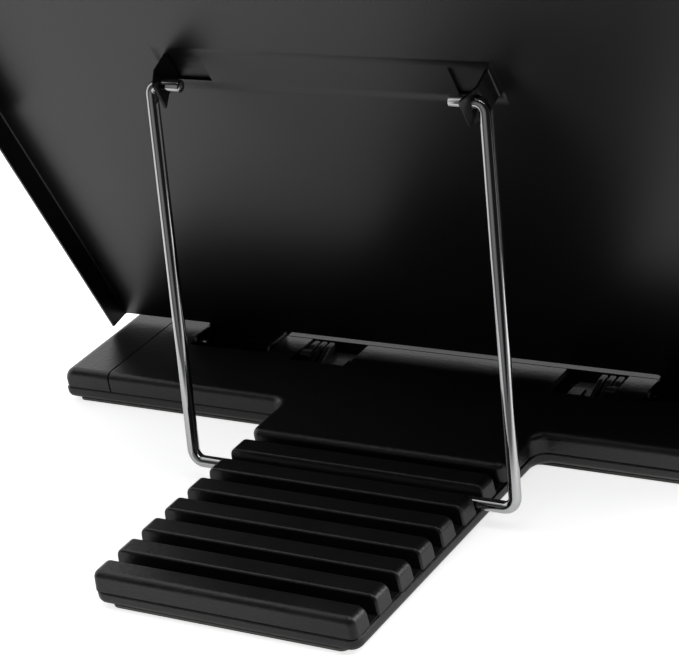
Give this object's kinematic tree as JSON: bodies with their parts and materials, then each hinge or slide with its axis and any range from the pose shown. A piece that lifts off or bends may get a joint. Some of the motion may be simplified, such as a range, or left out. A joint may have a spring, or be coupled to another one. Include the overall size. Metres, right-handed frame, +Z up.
{
  "type": "copy holder",
  "caption": "Desktop copy holder: a slanted steel sheet plate on a grooved base, propped by a wire bail, with a sliding line guide.",
  "frame": {"origin": "on the table, centre of the holder's box underside, in the holder's middle plane", "axes": "+X to the reader's right, -Y towards the reader, +Z up"},
  "size_m": [0.2968, 0.1796, 0.2373],
  "materials": {
    "black_shell": "fine satin gloss",
    "pad": "matte",
    "screw_steel": "zinc plated",
    "pin_steel": "turned",
    "spring_steel": "drawn wire",
    "slide_plastic": "satin",
    "plate_paint": "satin enamel",
    "bail_wire": "bright plated wire",
    "bar_plastic": "satin",
    "lens_clear": "clear, polished",
    "carriage_plastic": "satin"
  },
  "bodies": {
    "base": {"base_shell": "black_shell", "base_cover": "black_shell", "left_end_cap": "black_shell", "right_end_cap": "black_shell", "document_ledge": "black_shell", "base_pad": "pad", "cover_screws": "screw_steel", "end_cap_screws": "screw_steel", "ledge_screws": "screw_steel", "left_pivot_stub": "pin_steel", "right_pivot_stub": "pin_steel", "left_release_spring": "spring_steel", "right_release_spring": "spring_steel"},
    "plate": {"copy_plate": "plate_paint"},
    "bail": {"wire_bail": "bail_wire"},
    "guide": {"guide_bar": "bar_plastic", "guide_lens": "lens_clear", "left_guide_carriage": "carriage_plastic", "right_guide_carriage": "carriage_plastic", "left_guide_spring": "spring_steel", "right_guide_spring": "spring_steel", "guide_screws": "screw_steel"},
    "left_release": {"left_release_slide": "slide_plastic", "left_release_pin": "pin_steel"},
    "right_release": {"right_release_slide": "slide_plastic", "right_release_pin": "pin_steel"}
  },
  "joints": [
    {"name": "plate_tilt", "type": "hinge", "parent": "base", "child": "plate", "pos_m": [0, -0.05408, 0.01102], "axis": [1, 0, 0], "range_deg": [0, 13]},
    {"name": "bail_swing", "type": "hinge", "parent": "plate", "child": "bail", "pos_m": [0, -0.00453, 0.13239], "axis": [1, 0, 0], "range_deg": [-1.3, 0]},
    {"name": "guide_slide", "type": "slide", "parent": "plate", "child": "guide", "axis": [0, 0.3778, 0.9259], "range_m": [-0.088, 0.092]},
    {"name": "left_release", "type": "slide", "parent": "base", "child": "left_release", "axis": [1, 0, 0], "range_m": [0, 0.004], "stiffness_N_per_m": 200, "springref_m": -0.003, "deforming": ["left_release_spring"]},
    {"name": "right_release", "type": "slide", "parent": "base", "child": "right_release", "axis": [-1, 0, 0], "range_m": [0, 0.004], "stiffness_N_per_m": 200, "springref_m": -0.003, "deforming": ["right_release_spring"]}
  ],
  "couplings": [
    {"joint": "bail_swing", "follows": "plate_tilt", "ratio": -0.1}
  ]
}
